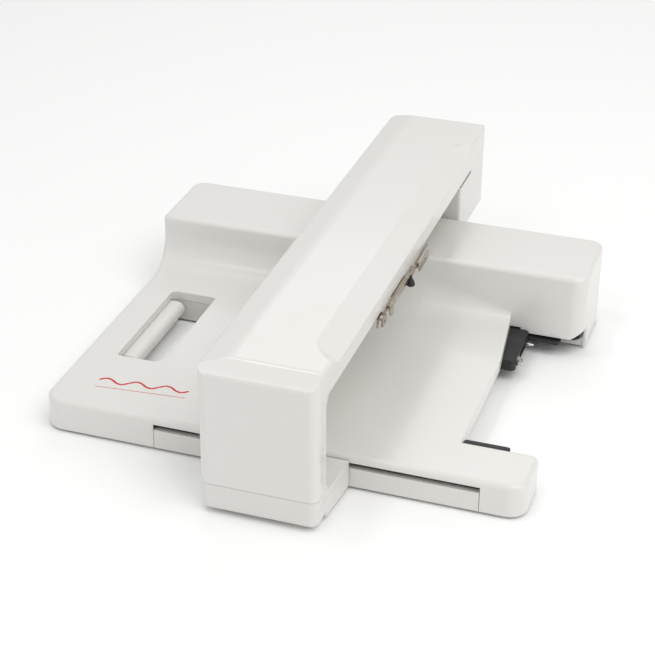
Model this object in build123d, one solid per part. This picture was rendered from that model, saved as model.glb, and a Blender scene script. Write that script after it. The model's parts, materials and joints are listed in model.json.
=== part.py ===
"""Embroidery module of a household sewing machine: a flat table with a raised drive housing, an arm that
travels along X over it, and a hoop carriage that travels along Y in the arm.

Millimetres, +Z up, +X right, +Y to the rear. The origin is on the ground, at the centre of the outline.
"""
import os

from build123d import *

# ---- driving dimensions -------------------------------------------------------------------------------
BASE_LENGTH = 480.0     # table, along X
BASE_DEPTH = 400.0      # table and housing, along Y
ARM_LENGTH = 590.0      # arm, along Y
ARM_WIDTH = 113.0
ARM_TOP = 160.0         # height of the arm's top above the ground
FOOT_HEIGHT = 3.0       # rubber feet
TABLE_HEIGHT = 36.0
HOUSING_HEIGHT = 92.0
LEG_OVERHANG = 78.0     # from the table's front edge to the front of the arm's leg
WALL = 2.6              # moulded shells
GAP = 0.5               # seam between two shells

X_TRAVEL = (-78.0, 126.0)      # the arm, from where it is drawn
Y_TRAVEL = (-147.0, 253.0)     # the hoop carriage

# ---- places worked out from them ----------------------------------------------------------------------
LEFT, RIGHT = -BASE_LENGTH / 2, BASE_LENGTH / 2
ARM_FRONT, ARM_REAR = -ARM_LENGTH / 2, ARM_LENGTH / 2
FRONT = ARM_FRONT + LEG_OVERHANG
REAR = FRONT + BASE_DEPTH
UNDER = FOOT_HEIGHT

HOUSING_FRONT = REAR - 98.0
HOUSING_RIGHT = RIGHT - 8.0
OVERHANG_BOTTOM = UNDER + 17.5      # underside of the housing where it reaches over the notch
COVE_RADIUS = 36.0                  # sweep from the table up into the housing
NOTCH_LEFT = LEFT + 406.0           # the sewing machine's bed fits in this notch
TAB_REAR = FRONT + 59.0
LIP_BOTTOM = TABLE_HEIGHT - 10.0    # the table's edge at the notch is a thin lip
LIP_REACH = 16.0
LIP_BEND, LIP_DRAW = FRONT + 208.0, 11.0    # where the edge turns in, and how far it has come in at the housing
FADE_X, FADE_RADIUS = LEFT + 300.0, 4.0    # where the cove starts to shrink, and what is left of it
EDGE = 5.0                          # rounding of the moulded top edges

SLOT_LEFT, SLOT_RIGHT = LEFT + 117.5, LEFT + 438.0      # front slot, where the arm's tongue runs
SLOT_BOTTOM, SLOT_TOP = UNDER + 20.0, UNDER + 26.0

GRIP_LEFT, GRIP_RIGHT = LEFT + 36.0, LEFT + 86.0        # carrying slot
GRIP_FRONT, GRIP_REAR = FRONT + 97.0, FRONT + 240.0
COLLAR_SEAM = 26.5

ARM_LEFT = LEFT + 197.0
ARM_RIGHT = ARM_LEFT + ARM_WIDTH
ARM_X = (ARM_LEFT + ARM_RIGHT) / 2
FLANGE_BOTTOM = 131.0               # lower edge of the arm cover's right side
ARM_BOTTOM = 121.0
LEG_DEPTH = 24.0
LEG_BOTTOM = UNDER + 1.0
LINER = 8.0                         # width of the liner's edge, seen along the leg and the foot
FOOT_TOP = UNDER + 29.0
FOOT_FLARE = 4.5                    # how much wider the foot is at its rear
TOE_SEAM = UNDER + 30.0
FOOT_SEAM = FOOT_TOP - LINER
BLOCK_FRONT = REAR + 4.0            # the arm's rear block hangs behind the housing
BLOCK_BOTTOM = UNDER + 66.0
RECESS_X = ARM_RIGHT - 8.0          # the arm's underside stands back from its right side
SLIT_REAR = FRONT + 448.0
SLIT = (FLANGE_BOTTOM - 4.4, FLANGE_BOTTOM)     # slot in the rear block's right side, for the hoop neck
SLOPE_WIDTH, SLOPE_DROP = 26.0, 6.2     # the top's slope down to the left
BEVEL = (16.5, 12.2)                # depth and drop of the bevel along the top's front edge
LEG_CORNER = 9.0                    # rounding of the leg's front corners
SCOOP_ENDS = (                      # place along the arm, direction, turn and steepness of its end facets
    (FRONT - 19.0, 1, 44.0, 38.0),
    (FRONT + 440.0, -1, 20.0, 32.0),
)
SCOOP_SOFT = 5.0                    # radius where an end facet meets the scoop

CARRIAGE_Y = ARM_FRONT + 242.0      # middle of the hoop carriage at rest
NECK_TOP = FLANGE_BOTTOM - 2.2
HOOP_X = ARM_RIGHT + 0.7             # the hoop coupling lies outside this, clear of the rear block

ROD_Z, ROD_R = 50.0, 5.0            # X guide rods
ROD_YS = (HOUSING_FRONT + 24.0, REAR - 22.0)
BELT_Y, BELT_Z = (ROD_YS[0] + ROD_YS[1]) / 2, 70.0
PULLEY_R = 6.4
BELT_WIDTH, BELT_THICK = 6.0, 1.4
X_PULLEYS = (LEFT + 36.0, HOUSING_RIGHT - 18.0)
REAR_SLOT_Z = (74.0, 80.0)          # slot in the rear cover for the arm's bracket
BRACKET_HALF = 30.0

Y_ROD_XS = (ARM_X - 2.0, ARM_X + 28.0)
Y_ROD_Z, Y_ROD_R = 139.0, 4.0
Y_BELT_X, Y_BELT_Z = ARM_LEFT + 28.0, 146.0
Y_PULLEYS = (ARM_FRONT + 36.0, ARM_REAR - 32.0)

ROLLER_Y, ROLLER_Z, ROLLER_R = FRONT + 20.0, 20.0, 4.0
RUN = 0.05                          # running clearance of a shaft in its bush
TRAY = 2.4                          # thickness of the floor pan
ARM_FLOOR = ARM_BOTTOM + WALL
BLOCK_FLOOR = BLOCK_BOTTOM + WALL


def block(x0, x1, y0, y1, z0, z1):
    """A box given by its two corners."""
    return Pos((x0 + x1) / 2, (y0 + y1) / 2, (z0 + z1) / 2) * Box(x1 - x0, y1 - y0, z1 - z0)


def rod(axis, x, y, z, radius, length):
    """A cylinder that starts at a point and runs along +X, +Y or +Z."""
    turn = {"x": Rot(0, 90, 0), "y": Rot(-90, 0, 0), "z": Rot(0, 0, 0)}[axis]
    return Pos(x, y, z) * turn * Cylinder(radius, length, align=(Align.CENTER, Align.CENTER, Align.MIN))


def prism(plane, points, start, end):
    """A polygon drawn on XY, XZ or YZ, extruded between two places on the third axis."""
    if plane == "XY":
        face = make_face(Polyline(*[(a, b, start) for a, b in points], close=True))
        return extrude(face, amount=end - start, dir=(0, 0, 1))
    if plane == "XZ":
        face = make_face(Polyline(*[(a, start, b) for a, b in points], close=True))
        return extrude(face, amount=end - start, dir=(0, 1, 0))
    face = make_face(Polyline(*[(start, a, b) for a, b in points], close=True))
    return extrude(face, amount=end - start, dir=(1, 0, 0))


def upright_edges(solid, x, y, reach=0.6):
    """The vertical edges that stand at a place in plan."""
    return [e for e in solid.edges().filter_by(Axis.Z)
            if abs(e.center().X - x) < reach and abs(e.center().Y - y) < reach]


def round_upright(solid, corners):
    """Rounds vertical corners given as (x, y, radius)."""
    for x, y, radius in corners:
        found = upright_edges(solid, x, y)
        if found:
            solid = fillet(found, radius)
    return solid


def screw(x, y, z, radius=2.0, length=8.0, head=3.6):
    """A cross-head screw driven upwards, whose head bears at height z."""
    body = rod("z", x, y, z, radius, length) + rod("z", x, y, z - 1.6, head, 1.6)
    for dx, dy in ((head * 0.6, 0.5), (0.5, head * 0.6)):
        body -= block(x - dx, x + dx, y - dy, y + dy, z - 1.7, z - 0.9)
    return body


def belt_loop(axis, ends, centre, z, radius):
    """A closed flat belt round two pulleys whose shafts stand along Z."""
    length = ends[1] - ends[0]
    middle = (ends[0] + ends[1]) / 2
    outer = SlotCenterToCenter(length, 2 * (radius + BELT_THICK))
    inner = SlotCenterToCenter(length, 2 * radius)
    loop = extrude(outer - inner, amount=BELT_WIDTH)
    if axis == "x":
        return Pos(middle, centre, z) * loop
    return Pos(centre, middle, z) * Rot(0, 0, 90) * loop


def pulley(x, y, z, shaft_below, shaft_radius=2.5):
    """A flanged belt pulley on its own shaft, one solid; z is the belt's lower edge."""
    body = rod("z", x, y, z - 0.6, PULLEY_R, BELT_WIDTH + 1.2)
    for teeth in range(20):
        notch = rod("z", PULLEY_R, 0, z - 0.6, 0.55, BELT_WIDTH + 1.2)
        body -= Pos(x, y, 0) * Rot(0, 0, teeth * 18.0) * notch
    for low in (z - 2.0, z + BELT_WIDTH + 0.6):
        body += rod("z", x, y, low, PULLEY_R + 2.2, 1.4)
    return body + rod("z", x, y, z - 2.0 - shaft_below, shaft_radius, shaft_below + 0.5)


# ---- the table and its housing ------------------------------------------------------------------------
def cover_body(inset):
    """The table with its housing as a full solid, shrunk by inset on every outer face."""
    left, right = LEFT + inset, RIGHT - inset
    front, rear = FRONT + inset, REAR - inset
    table, top = TABLE_HEIGHT - inset, HOUSING_HEIGHT - inset
    face_y = HOUSING_FRONT + inset
    cove = COVE_RADIUS + inset
    low = UNDER if inset == 0 else UNDER - 2.0
    outline = Polyline((left, front, low), (left, front, table), (left, face_y - cove, table))
    outline += ThreePointArc((left, face_y - cove, table),
                             (left, face_y - cove + cove * 0.70711, table + cove * (1 - 0.70711)),
                             (left, face_y, table + cove))
    outline += Polyline((left, face_y, table + cove), (left, face_y, top), (left, rear, top), (left, rear, low),
                        (left, front, low))
    body = extrude(make_face(outline), amount=right - left, dir=(1, 0, 0))
    notch_left, tab_rear = NOTCH_LEFT - inset, TAB_REAR - inset
    body -= block(notch_left, RIGHT + 1, tab_rear, face_y, 0, HOUSING_HEIGHT + 1)
    body -= block(HOUSING_RIGHT - inset, RIGHT + 1, tab_rear + 1, REAR + 1, 0, HOUSING_HEIGHT + 1)
    corners = [(left, front, 20.0 - inset), (right, front, 18.0 - inset), (right, tab_rear, 8.0 - inset),
               (left, rear, 14.0 - inset), (HOUSING_RIGHT - inset, rear, 14.0 - inset),
               (HOUSING_RIGHT - inset, face_y, 16.0 - inset)]
    body = round_upright(body, corners)
    return fillet([e for e in body.edges() if soft_edge(e, inset)], EDGE - inset)


def soft_edge(edge, inset):
    """Says whether an edge belongs to the soft rim round the table, the cove's left end or the housing's top."""
    c, box = edge.center(), edge.bounding_box()
    top, table = HOUSING_HEIGHT - inset, TABLE_HEIGHT - inset
    if abs(c.Z - top) < 0.1:
        return True
    if abs(c.Z - table) < 0.1 and box.max.Z - box.min.Z < 0.1:
        at_notch = abs(c.X - NOTCH_LEFT + inset) < 0.1
        across_cove = c.Y > HOUSING_FRONT - COVE_RADIUS - 1
        return not at_notch and not across_cove
    rising = box.max.Z - box.min.Z > 5 and c.Z > table
    return rising and box.max.X < LEFT + inset + 0.1 and c.Y < REAR - 30


def cove_profile(x, radius):
    """The filled corner below the cove, as a face that looks along X."""
    y, z = HOUSING_FRONT, TABLE_HEIGHT
    side = radius * (1 - 0.70711)
    outline = Polyline((x, y - radius, z), (x, y, z), (x, y, z + radius))
    outline += ThreePointArc((x, y, z + radius), (x, y - side, z + side), (x, y - radius, z))
    return make_face(outline)


def fade_cove(body):
    """Lets the cove shrink towards the notch, and draws the table's edge in beside the dock."""
    end = NOTCH_LEFT + 1
    body -= block(FADE_X, end, HOUSING_FRONT - COVE_RADIUS - 1, HOUSING_FRONT, TABLE_HEIGHT,
                  TABLE_HEIGHT + COVE_RADIUS + 1)
    body += loft([cove_profile(FADE_X, COVE_RADIUS), cove_profile(end, FADE_RADIUS)], ruled=True)
    r = 2.5
    along = block(NOTCH_LEFT - r, end, TAB_REAR, LIP_BEND, TABLE_HEIGHT - r, TABLE_HEIGHT + 1)
    body -= along - rod("y", NOTCH_LEFT - r, TAB_REAR - 1, TABLE_HEIGHT - r, r, LIP_BEND - TAB_REAR + 2)
    bend = [(NOTCH_LEFT, LIP_BEND), (end, LIP_BEND), (end, HOUSING_FRONT), (NOTCH_LEFT - LIP_DRAW, HOUSING_FRONT)]
    return body - prism("XY", bend, -10, HOUSING_HEIGHT + 5)


LEVER_PORT_Y = (GRIP_FRONT + 11.5, GRIP_REAR - 3.5)     # where the release bar stands out of the slot's left wall
LEVER_PORT_TOP = 28.6
REAR_PANEL_X = (LEFT + 12, HOUSING_RIGHT - 12)
REAR_PANEL_TOP = HOUSING_HEIGHT - 12
SIDE_SEAM_Y = HOUSING_FRONT + 21.0     # seam in the housing's right end
LEG_LEFT, LEG_FRONT = HOUSING_RIGHT - 27.0, SIDE_SEAM_Y + 2.0     # hollow leg under the housing's right end
LEG_HEIGHT = OVERHANG_BOTTOM - 5.7
CORNER_TOP = OVERHANG_BOTTOM + 9.0     # top of the cut-away at the housing's lower right corner
TABLE_SCREWS = [(x, FRONT + 42) for x in (LEFT + 22, -70.0, 60.0, 140.0, RIGHT - 24)]
REAR_SCREWS = [(x, REAR - 10) for x in (LEFT + 22, -70.0, 60.0, 130.0)]


def screw_boss(x, y, low, high):
    return rod("z", x, y, low, 4.6, high - low) - rod("z", x, y, low - 1, 2.0, 9.0)


def grip_opening(low, high, grow=0.0):
    """The carrying slot's prism, with one large front corner."""
    hole = block(GRIP_LEFT - grow, GRIP_RIGHT + grow, GRIP_FRONT - grow, GRIP_REAR + grow, low, high)
    corners = [(GRIP_RIGHT + grow, GRIP_FRONT - grow, 12.0 + grow), (GRIP_LEFT - grow, GRIP_REAR + grow, 6.0 + grow),
               (GRIP_RIGHT + grow, GRIP_REAR + grow, 3.0 + grow), (GRIP_LEFT - grow, GRIP_FRONT - grow, 3.0 + grow)]
    return round_upright(hole, corners)


def top_cover():
    """Table and housing in one moulded shell, with the lip at the notch and the rim of the carrying slot."""
    behind_lip = NOTCH_LEFT - LIP_REACH
    inner = cover_body(WALL)
    inner -= block(behind_lip, RIGHT, TAB_REAR - WALL, HOUSING_FRONT + WALL, 0, TABLE_HEIGHT)
    inner -= block(FADE_X - WALL, RIGHT, HOUSING_FRONT - COVE_RADIUS - 2 * WALL, HOUSING_FRONT + WALL,
                   TABLE_HEIGHT - WALL, HOUSING_HEIGHT)
    inner -= grip_opening(0, TABLE_HEIGHT, grow=2.2)
    shell = fade_cove(cover_body(0)) - inner
    shell -= block(behind_lip, NOTCH_LEFT + 0.01, TAB_REAR + 0.01, HOUSING_FRONT + WALL, 0, LIP_BOTTOM)
    shell -= block(behind_lip, RIGHT + 1, HOUSING_FRONT - 1, SIDE_SEAM_Y, 0, OVERHANG_BOTTOM)
    shell -= block(behind_lip, LEG_LEFT, HOUSING_FRONT - 1, REAR + 1, 0, OVERHANG_BOTTOM)
    shell += block(LEG_LEFT, HOUSING_RIGHT - 1, LEG_FRONT, LEG_FRONT + WALL, UNDER, LEG_HEIGHT)
    shell += block(LEG_LEFT, LEG_LEFT + WALL, LEG_FRONT, REAR - WALL - 1.2, UNDER, LEG_HEIGHT)
    shell -= grip_opening(0, TABLE_HEIGHT + 1)
    shell -= block(GRIP_LEFT - 20, GRIP_RIGHT + 20, GRIP_FRONT - 20, GRIP_REAR + 20, 0, COLLAR_SEAM)
    shell -= block(GRIP_LEFT - 3, GRIP_LEFT + 1, *LEVER_PORT_Y, 0, LEVER_PORT_TOP)
    shell -= block(SLOT_LEFT, SLOT_RIGHT, FRONT - 1, FRONT + WALL + 1, 0, SLOT_TOP)
    shell -= block(*REAR_PANEL_X, REAR - WALL - 1, REAR + 1, 0, REAR_PANEL_TOP)
    shell -= prism("XZ", [(HOUSING_RIGHT - 13, 0), (HOUSING_RIGHT - 13, OVERHANG_BOTTOM), (HOUSING_RIGHT + 1, CORNER_TOP),
                          (HOUSING_RIGHT + 1, 0)], HOUSING_FRONT - 1, SIDE_SEAM_Y)
    shell -= block(HOUSING_RIGHT - 1.2, HOUSING_RIGHT + 1, SIDE_SEAM_Y, SIDE_SEAM_Y + 0.9, 0, OVERHANG_BOTTOM + 34)
    for x, y in TABLE_SCREWS:
        shell += screw_boss(x, y, UNDER + TRAY, TABLE_HEIGHT - WALL + 0.5)
    return shell


def bottom_tray():
    """Floor pan inside the cover's skirt, with the walls of the carrying slot and of the notch."""
    t, inset = TRAY, WALL + GAP
    wall_x = NOTCH_LEFT - LIP_REACH - 1 - t
    plate = block(LEFT + inset, RIGHT - inset, FRONT + inset, REAR - inset, UNDER, UNDER + t)
    plate -= block(wall_x + t, RIGHT, TAB_REAR - inset, REAR, 0, 50)
    plate = round_upright(plate, [(LEFT + inset, FRONT + inset, 17.0), (RIGHT - inset, FRONT + inset, 15.0),
                                  (LEFT + inset, REAR - inset, 11.0), (RIGHT - inset, TAB_REAR - inset, 5.0)])
    plate += block(wall_x, wall_x + t, TAB_REAR - inset, DOCK_FRONT - 0.4, UNDER, LIP_BOTTOM - GAP)
    plate += block(wall_x, wall_x + t, DOCK_REAR - 8, HOUSING_FRONT, UNDER, LIP_BOTTOM - GAP)
    plate += block(wall_x, wall_x + t, HOUSING_FRONT - 1, REAR - inset, UNDER, OVERHANG_BOTTOM - GAP)
    plate += block(wall_x, RIGHT - 16, TAB_REAR - inset - t, TAB_REAR - inset, UNDER, LIP_BOTTOM - GAP)
    collar = grip_opening(UNDER, COLLAR_SEAM - 0.3, grow=2.2) - grip_opening(0, 50)
    plate = (plate + collar) - grip_opening(0, 50)
    plate += lever_pocket(t)
    plate -= block(GRIP_LEFT - 3, GRIP_LEFT + 1, *LEVER_PORT_Y, UNDER + t, 50)
    plate -= block(GRIP_LEFT - 19.5, GRIP_LEFT - 2, GRIP_REAR - 6, GRIP_REAR + 2, LINK_Z[0] - 2, LINK_Z[1] + 2)
    for x, y in TABLE_SCREWS + REAR_SCREWS:
        plate -= rod("z", x, y, 0, 2.3, 10)
        plate -= rod("z", x, y, 0, 3.9, UNDER + 1.0)
    return plate


def lever_pocket(t):
    """Walls round the space the release bar slides into."""
    left, right = GRIP_LEFT - 24, GRIP_LEFT
    front, rear = LEVER_PORT_Y
    walls = block(left, right, front - t, rear + t, UNDER, COLLAR_SEAM - 0.3)
    return walls - block(left + t, right + 1, front, rear, UNDER + t, 50)


def base_screws():
    return Compound([screw(x, y, UNDER + 1.0) for x, y in TABLE_SCREWS + REAR_SCREWS])


def front_skirt():
    """Panel below the front slot, behind which the arm's tongue runs."""
    panel = block(SLOT_LEFT + GAP, SLOT_RIGHT - GAP, FRONT, FRONT + WALL, UNDER, SLOT_BOTTOM)
    panel += block(SLOT_LEFT + GAP, SLOT_RIGHT - GAP, FRONT + WALL, FRONT + WALL + 4, SLOT_BOTTOM - 2, SLOT_BOTTOM)
    for x in (SLOT_LEFT + 30, 0.0, SLOT_RIGHT - 30):
        panel += block(x - 1, x + 1, FRONT + WALL, FRONT + WALL + 4, UNDER + 3, SLOT_BOTTOM - 1)
    return panel


def slot_brush():
    """Dark dust strip that hangs inside the front slot."""
    return block(SLOT_LEFT + 1, SLOT_RIGHT - 1, FRONT + WALL + 4.6, FRONT + WALL + 5.6, SLOT_TOP + 1, TABLE_HEIGHT - WALL)


def rear_cover():
    """Rear panel of the housing, with the slot for the arm's bracket and the vents of the drive."""
    panel = block(REAR_PANEL_X[0] + GAP, REAR_PANEL_X[1] - GAP, REAR - WALL, REAR, UNDER, REAR_PANEL_TOP - GAP)
    panel -= block(NOTCH_LEFT - LIP_REACH, LEG_LEFT, REAR - 10, REAR + 1, 0, OVERHANG_BOTTOM)
    low, high = ARM_X + X_TRAVEL[0] - BRACKET_HALF, ARM_X + X_TRAVEL[1] + BRACKET_HALF
    panel -= block(low, high, REAR - 10, REAR + 1, *REAR_SLOT_Z)
    for k in range(9):
        panel -= block(LEFT + 40 + 9 * k, LEFT + 44 + 9 * k, REAR - 10, REAR + 1, 24, 44)
    for x, y in REAR_SCREWS:
        panel += screw_boss(x, y, UNDER + TRAY, UNDER + TRAY + 12)
        panel += block(x - 1.2, x + 1.2, y + 4, REAR - WALL + 0.1, UNDER + TRAY, UNDER + TRAY + 12)
    return panel


def overhang_floor():
    """Black chassis plate that closes the housing's underside over the notch, with a raised right edge."""
    x0, x1, y0, y1 = NOTCH_LEFT - LIP_REACH + 1, HOUSING_RIGHT - 3, HOUSING_FRONT + 4, REAR - 4
    plate = block(x0, x1, y0, y1, OVERHANG_BOTTOM - 2.5, CORNER_TOP + 3)
    plate = round_upright(plate, [(x1, y0, 12.0), (x1, y1, 10.0)])
    plate -= block(x0 - 1, x1 - 2, y0 - 1, y1 + 1, OVERHANG_BOTTOM - 0.2, 60)
    rib = block(NOTCH_LEFT + 12, x1 - 12, y0 + 10, y1 - 10, OVERHANG_BOTTOM - 5.5, OVERHANG_BOTTOM - 2.5)
    return plate + (rib - block(NOTCH_LEFT + 15, x1 - 15, y0 + 13, y1 - 13, 0, OVERHANG_BOTTOM - 2.5))


def rubber_feet():
    spots = [(LEFT + 30, FRONT + 12), (RIGHT - 26, FRONT + 12), (LEFT + 30, REAR - 30), (NOTCH_LEFT - 36, REAR - 30),
             (-130.0, -60.0), (NOTCH_LEFT - 36, -60.0)]
    return Compound([fillet(rod("z", x, y, 0, 6.0, UNDER).edges().group_by(Axis.Z)[0], 1.0) for x, y in spots])


# ---- docking with the sewing machine ------------------------------------------------------------------
DOCK_X = NOTCH_LEFT - LIP_REACH + 4.0
DOCK_FRONT, DOCK_REAR = FRONT + 233.0, FRONT + 300.0
DOCK_Z = UNDER + 15.0                # height of the pins, the contacts and the latch
DOCK_PIN_YS = (DOCK_FRONT + 8.5, DOCK_REAR - 16.4)
LATCH_Y = DOCK_FRONT + 16.5
CONTACT_Y = DOCK_FRONT + 35.0


def dock_housing():
    """Black connector body that stands out of the notch's left side below the lip."""
    body = block(DOCK_X, DOCK_X + 22, DOCK_FRONT, DOCK_REAR, DOCK_Z - 5, LIP_BOTTOM - 1.0)
    body = chamfer([e for e in body.edges().filter_by(Axis.Z) if e.center().X > DOCK_X + 20], 3.0)
    body += block(NOTCH_LEFT - LIP_REACH - 1, DOCK_X + 1, DOCK_FRONT, DOCK_REAR - 8.4, UNDER, DOCK_Z)
    body += block(NOTCH_LEFT - LIP_REACH - 1, DOCK_X + 1, DOCK_REAR - 8.4, DOCK_REAR, UNDER, DOCK_Z - 6)
    body -= block(DOCK_X + 10, DOCK_X + 30, CONTACT_Y - 11, CONTACT_Y + 11, DOCK_Z - 3, DOCK_Z + 4)
    body -= block(DOCK_X - 6, DOCK_X + 30, LATCH_Y - 4, LATCH_Y + 4, DOCK_Z - 4, DOCK_Z + 4)
    body -= block(DOCK_X + 1.8, DOCK_X + 23, HOUSING_FRONT - 5.2, DOCK_REAR + 1, OVERHANG_BOTTOM - 6.2,
                  OVERHANG_BOTTOM - 2.3)
    for y in DOCK_PIN_YS:
        body -= rod("x", DOCK_X + 10, y, DOCK_Z, 1.75, 20)
    return body


def dock_contacts():
    """Gold spring contacts in a row on their carrier."""
    carrier = block(DOCK_X + 10, DOCK_X + 13, CONTACT_Y - 11, CONTACT_Y + 11, DOCK_Z - 3, DOCK_Z + 4)
    pins = [block(DOCK_X + 13, DOCK_X + 20, CONTACT_Y - 9.4 + 2.6 * k, CONTACT_Y - 8.0 + 2.6 * k, DOCK_Z - 0.6, DOCK_Z + 0.6)
            for k in range(7)]
    for pin in pins:
        carrier += pin
    return carrier


def dock_pins():
    """Two steel pins that guide the module on to the machine."""
    pins = []
    for y in DOCK_PIN_YS:
        pin = rod("x", DOCK_X + 10, y, DOCK_Z, 1.75, 21)
        pins.append(chamfer(pin.edges().group_by(Axis.X)[-1], 1.2))
    return Compound(pins)


def dock_bar():
    """Black locating bar under the front edge of the overhang."""
    bar = block(DOCK_X + 2, LEFT + 449, HOUSING_FRONT - 5, HOUSING_FRONT + 7, OVERHANG_BOTTOM - 6, OVERHANG_BOTTOM - 2.5)
    return fillet([e for e in bar.edges().filter_by(Axis.Z) if e.center().X > LEFT + 440], 4.0)


def notch_strip():
    """Dark plastic buffer along the rear edge of the tab."""
    strip = block(NOTCH_LEFT + 0.6, LEFT + 451, TAB_REAR, TAB_REAR + 6.5, TABLE_HEIGHT - 6, TABLE_HEIGHT - 2)
    strip = fillet([e for e in strip.edges().filter_by(Axis.Z) if e.center().Y > TAB_REAR + 6], 3.0)
    return strip


def control_board():
    board = block(-120, 10, -120, -40, 11, 12.6)
    for x, y in ((-114, -114), (-114, -46), (4, -114), (4, -46)):
        board -= rod("z", x, y, 10, 1.7, 4)
    return board


def board_parts():
    """Chips, sockets and capacitors on the board, and the posts that carry it."""
    made = [block(-70, -46, -92, -68, 12.6, 15.0), block(-36, -20, -100, -88, 12.6, 14.6),
            block(-110, -88, -60, -46, 12.6, 21.0), block(-10, 6, -90, -64, 12.6, 20.0)]
    made += [rod("z", x, -56.0, 12.6, 4.0, 10.0) for x in (-70.0, -58.0)]
    made += [rod("z", x, y, UNDER + TRAY, 3.0, 11 - UNDER - TRAY) for x in (-114, 4) for y in (-114, -46)]
    return Compound(made)


def dock_ribbon():
    """Flat cable from the board's socket to the contacts, laid on the tray."""
    level = 8.2
    points = [(6.2, -77), (DOCK_X - 14, -77), (DOCK_X - 14, CONTACT_Y), (DOCK_X - 5.3, CONTACT_Y)]
    width = 10.0
    band = block(8, points[1][0] + width / 2, -77 - width / 2, -77 + width / 2, level, level + 0.8)
    low, high = sorted((-77 - width / 2, CONTACT_Y + width / 2))
    band += block(points[1][0] - width / 2, points[1][0] + width / 2, low, high, level, level + 0.8)
    band += block(points[1][0], points[3][0], CONTACT_Y - width / 2, CONTACT_Y + width / 2, level, level + 0.8)
    return band


# ---- carrying grip and release ------------------------------------------------------------------------
LEVER_X, LEVER_Z, LEVER_R = GRIP_LEFT + 8.0, 20.0, 8.0
LINK_Z = (UNDER + 13.0, UNDER + 15.0)


def release_lever():
    """Rounded bar along the carrying slot; squeezing it to the left draws the latch back."""
    y0, y1 = LEVER_PORT_Y[0] + 2.5, LEVER_PORT_Y[1] - 2.5
    bar = rod("y", LEVER_X, y0, LEVER_Z, LEVER_R, y1 - y0)
    bar += block(GRIP_LEFT - 14, LEVER_X, y0, y1, LEVER_Z - LEVER_R, LEVER_Z + LEVER_R)
    bar -= block(GRIP_LEFT - 15, LEVER_X - 3, y0 + 3, y1 - 3, 0, LEVER_Z + LEVER_R - 3)
    return fillet([e for e in bar.edges() if e.geom_type == GeomType.CIRCLE], 1.5)


def release_link():
    """Bent steel strip from the bar, behind the carrying slot, along the tray to the latch."""
    lever_end = LEVER_PORT_Y[1] - 2.5
    back = GRIP_REAR + 8
    strip = block(GRIP_LEFT - 12, GRIP_LEFT - 4, lever_end, back + 6, *LINK_Z)
    strip += block(GRIP_LEFT - 12, GRIP_LEFT - 4, lever_end, lever_end + 1.6, LINK_Z[0], LINK_Z[1] + 4)
    strip += block(GRIP_LEFT - 12, GRIP_RIGHT + 14, back, back + 6, *LINK_Z)
    strip += block(GRIP_RIGHT + 8, GRIP_RIGHT + 14, LATCH_Y - 3, back + 6, *LINK_Z)
    return strip + block(GRIP_RIGHT + 8, DOCK_X + 2, LATCH_Y - 3, LATCH_Y + 3, *LINK_Z)


def release_latch():
    """Bolt whose bevelled nose holds the machine's catch."""
    z0, z1 = DOCK_Z - 3.4, DOCK_Z + 3.4
    profile = [(DOCK_X + 2, z0), (DOCK_X + 27, z0), (DOCK_X + 27, z0 + 2), (DOCK_X + 21, z1), (DOCK_X + 2, z1)]
    return prism("XZ", profile, LATCH_Y - 3.5, LATCH_Y + 3.5)


# ---- X drive in the housing ---------------------------------------------------------------------------
ROD_ENDS = (ARM_X + X_TRAVEL[0] - 62.0, ARM_X + X_TRAVEL[1] + 58.0)


def x_guide_rods():
    return Compound([rod("x", ROD_ENDS[0], y, ROD_Z, ROD_R, ROD_ENDS[1] - ROD_ENDS[0]) for y in ROD_YS])


def x_rod_supports():
    """Two end blocks that hold the X rods; the right one stands on the overhang's floor."""
    made = []
    for x in (ROD_ENDS[0], ROD_ENDS[1] - 10):
        plate = block(x, x + 10, ROD_YS[0] - 10, ROD_YS[1] + 9, ROD_Z - 9, ROD_Z + 9)
        base = UNDER + TRAY if x < 0 else OVERHANG_BOTTOM - 0.2
        plate += block(x, x + 10, BELT_Y - 16, BELT_Y + 16, base, ROD_Z - 9)
        for y in ROD_YS:
            plate -= rod("x", x - 1, y, ROD_Z, ROD_R, 12)
        made.append(plate)
    return Compound(made)


def x_motor():
    x = X_PULLEYS[0]
    body = block(x - 21, x + 21, BELT_Y - 21, BELT_Y + 21, 22, 62)
    body = chamfer(body.edges().filter_by(Axis.Z), 4.0)
    body += rod("z", x, BELT_Y, 62, 11.0, 2.0)
    body -= rod("z", x, BELT_Y, 50, 2.5 + RUN, 20)
    return body


def x_motor_bracket():
    """Folded steel stand with two cheeks that carry the motor."""
    x = X_PULLEYS[0]
    plate = block(x - 24, x + 24, BELT_Y - 24, BELT_Y + 24, UNDER + TRAY, UNDER + TRAY + 2)
    for side in (-1, 1):
        y = BELT_Y + side * 22.4
        plate += block(x - 24, x + 24, y - 1.4, y + 1.4, UNDER + TRAY, 60)
    for side in (-1, 1):
        y = BELT_Y + side * 19.0
        plate += block(x - 14, x + 14, y - 2, y + 2, UNDER + TRAY, 22)
    return plate


def x_drive_pulley():
    return pulley(X_PULLEYS[0], BELT_Y, BELT_Z, shaft_below=16.0)


def x_idler_pulley():
    return pulley(X_PULLEYS[1], BELT_Y, BELT_Z, shaft_below=18.0)


def x_idler_post():
    x = X_PULLEYS[1]
    post = block(x - 9, x + 9, BELT_Y - 12, BELT_Y + 12, OVERHANG_BOTTOM - 0.2, BELT_Z - 4)
    return post - rod("z", x, BELT_Y, BELT_Z - 21, 2.5 + RUN, 30)


def x_home_sensor():
    """Light-gate on its post, at the left end of the slider's run."""
    x0, y0 = ROD_ENDS[0] + 12, ROD_YS[0] - 16
    body = block(x0, x0 + 12, y0, y0 + 8, UNDER + TRAY, ROD_Z + 4)
    return body - block(x0 + 4, x0 + 8, y0 - 1, y0 + 9, ROD_Z - 6, ROD_Z + 5)


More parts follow.
